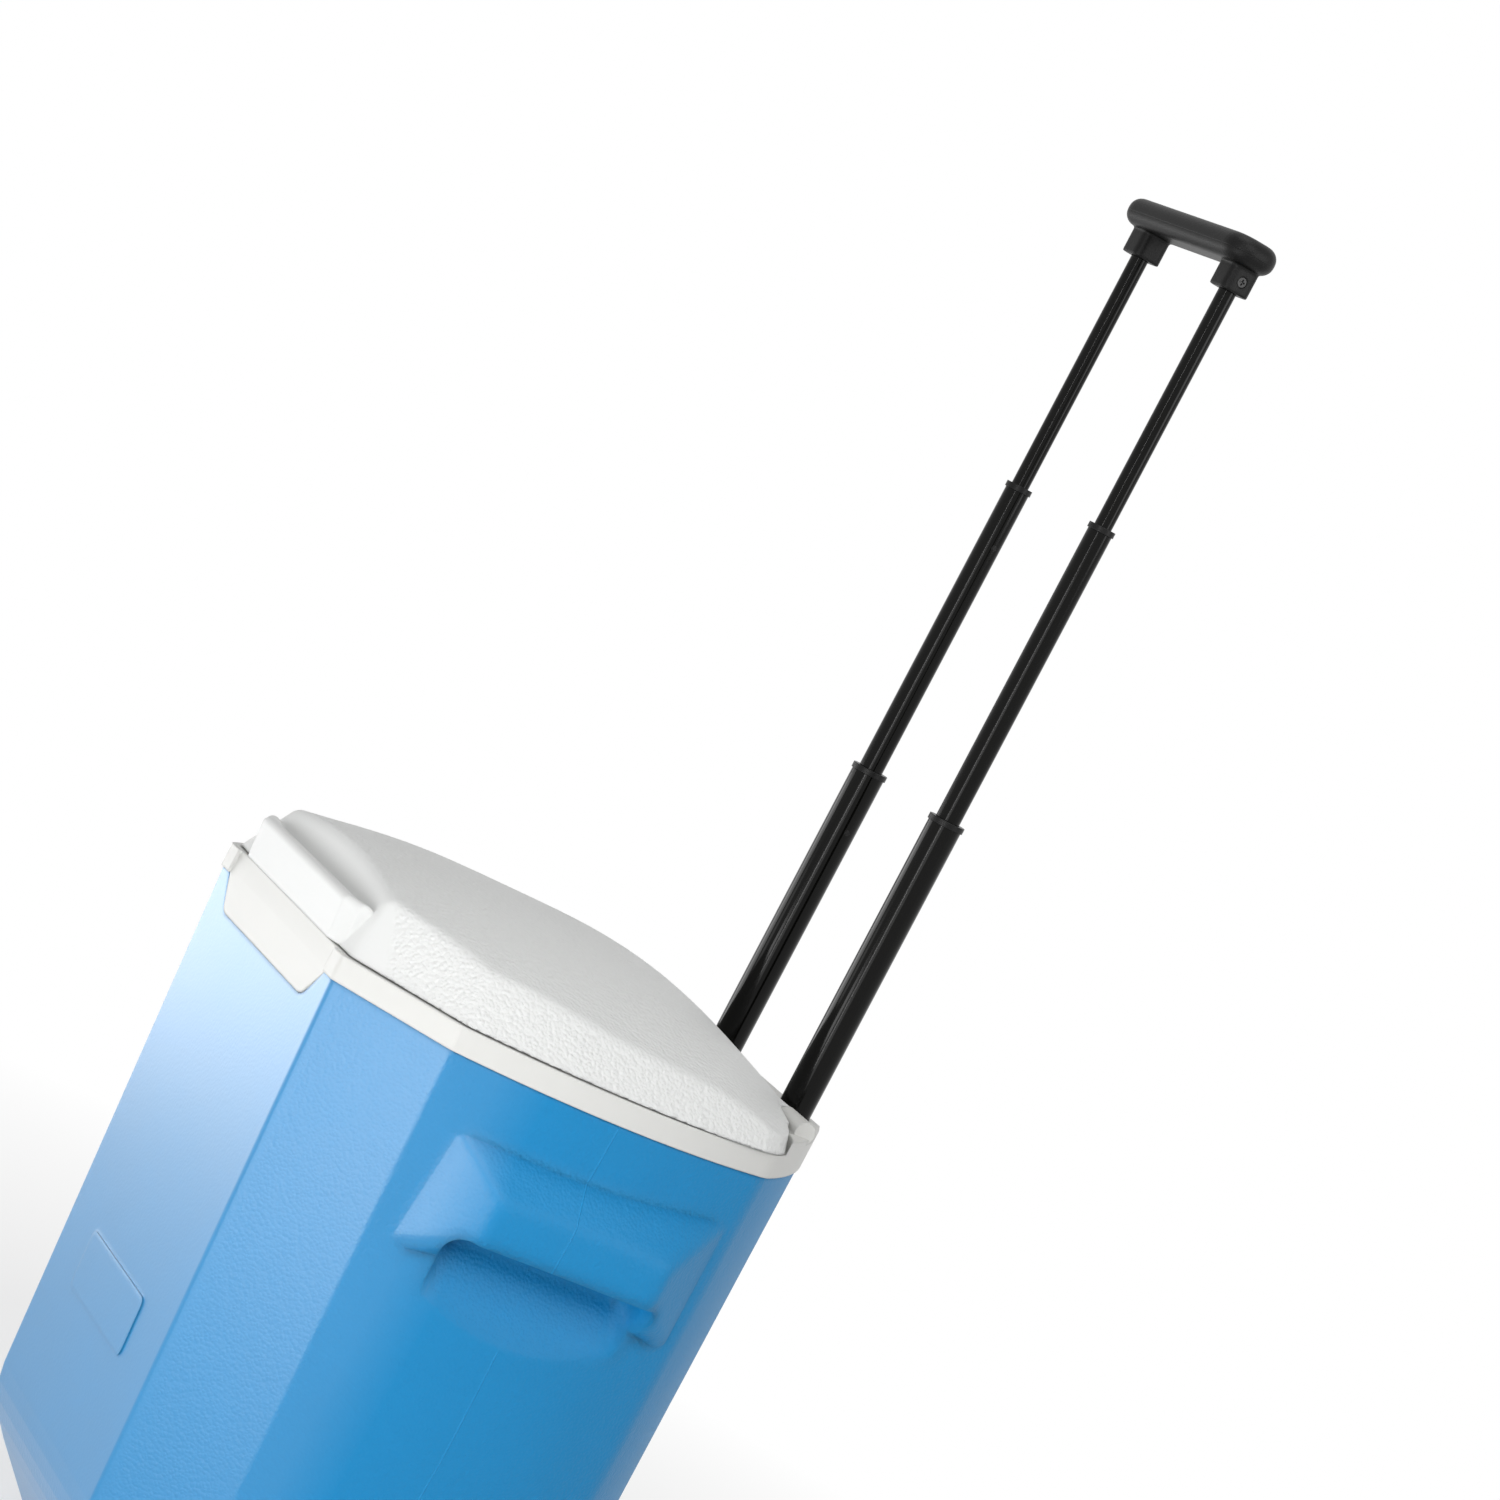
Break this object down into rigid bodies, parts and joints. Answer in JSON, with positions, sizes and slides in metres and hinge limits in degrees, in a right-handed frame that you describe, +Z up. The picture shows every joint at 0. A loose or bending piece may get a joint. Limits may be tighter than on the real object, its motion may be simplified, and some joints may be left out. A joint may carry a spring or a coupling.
{
  "type": "wheeled cooler",
  "caption": "Insulated wheeled cooler with a hinged lid, moulded side grips and a telescopic pull handle that slides down behind the lid.",
  "frame": {"origin": "ground plane, middle of the overall box", "axes": "+Z up, front with the tab faces -Y, wheels and pull handle at +Y, +X to the right seen from the front"},
  "size_m": [0.3222, 0.324, 0.8678],
  "materials": {
    "shell_blue": "fine-grained moulded plastic",
    "lid_white": "coarse-grained moulded plastic",
    "rim_white": "smooth satin moulded plastic",
    "liner_white": "smooth moulded plastic",
    "foam": "rigid insulating foam",
    "tube_black": "gloss black coating",
    "collar_black": "smooth moulded plastic",
    "grip_black": "fine-grained moulded plastic",
    "guide_metal": "drawn",
    "bracket_black": "moulded plastic",
    "wheel_black": "moulded plastic",
    "foot_rubber": "moulded rubber",
    "steel": "zinc-plated"
  },
  "bodies": {
    "cooler_body": {"outer_shell": "shell_blue", "body_insulation": "foam", "inner_liner": "liner_white", "rim_collar": "rim_white", "guide_bracket": "bracket_black", "guide_tube_left": "guide_metal", "guide_tube_right": "guide_metal", "guide_sleeve_left": "collar_black", "guide_sleeve_right": "collar_black", "bracket_screws": "steel", "foot_screws": "steel", "front_foot_left": "foot_rubber", "front_foot_right": "foot_rubber", "axle": "steel", "axle_bush_left": "bracket_black", "axle_bush_right": "bracket_black", "axle_washer_left": "steel", "axle_washer_right": "steel", "axle_cap_left": "wheel_black", "axle_cap_right": "wheel_black", "hinge_pin_left": "steel", "hinge_pin_right": "steel"},
    "lid": {"lid_top": "lid_white", "lid_pan": "liner_white", "lid_insulation": "foam"},
    "lower_stage": {"lower_tube_left": "tube_black", "lower_tube_right": "tube_black", "lower_bush_left": "collar_black", "lower_bush_right": "collar_black", "lower_collar_left": "collar_black", "lower_collar_right": "collar_black"},
    "middle_stage": {"middle_tube_left": "tube_black", "middle_tube_right": "tube_black", "middle_bush_left": "collar_black", "middle_bush_right": "collar_black", "middle_collar_left": "collar_black", "middle_collar_right": "collar_black"},
    "upper_stage": {"upper_tube_left": "tube_black", "upper_tube_right": "tube_black", "upper_bush_left": "collar_black", "upper_bush_right": "collar_black", "pull_top": "grip_black", "pull_base": "grip_black", "pull_screws": "steel"},
    "left_wheel": {"wheel_left": "wheel_black"},
    "right_wheel": {"wheel_right": "wheel_black"}
  },
  "joints": [
    {"name": "lid_hinge", "type": "hinge", "parent": "cooler_body", "child": "lid", "pos_m": [0, 0.099, 0.377], "axis": [-1, 0, 0], "range_deg": [0, 75]},
    {"name": "lower_slide", "type": "slide", "parent": "cooler_body", "child": "lower_stage", "axis": [0, 0, 1], "range_m": [-0.16, 0]},
    {"name": "middle_slide", "type": "slide", "parent": "lower_stage", "child": "middle_stage", "axis": [0, 0, 1], "range_m": [-0.16, 0]},
    {"name": "upper_slide", "type": "slide", "parent": "middle_stage", "child": "upper_stage", "axis": [0, 0, 1], "range_m": [-0.129, 0]},
    {"name": "left_wheel_turn", "type": "hinge", "parent": "cooler_body", "child": "left_wheel", "pos_m": [-0.108, 0.107, 0.055], "axis": [1, 0, 0], "continuous": true},
    {"name": "right_wheel_turn", "type": "hinge", "parent": "cooler_body", "child": "right_wheel", "pos_m": [0.108, 0.107, 0.055], "axis": [1, 0, 0], "continuous": true}
  ]
}
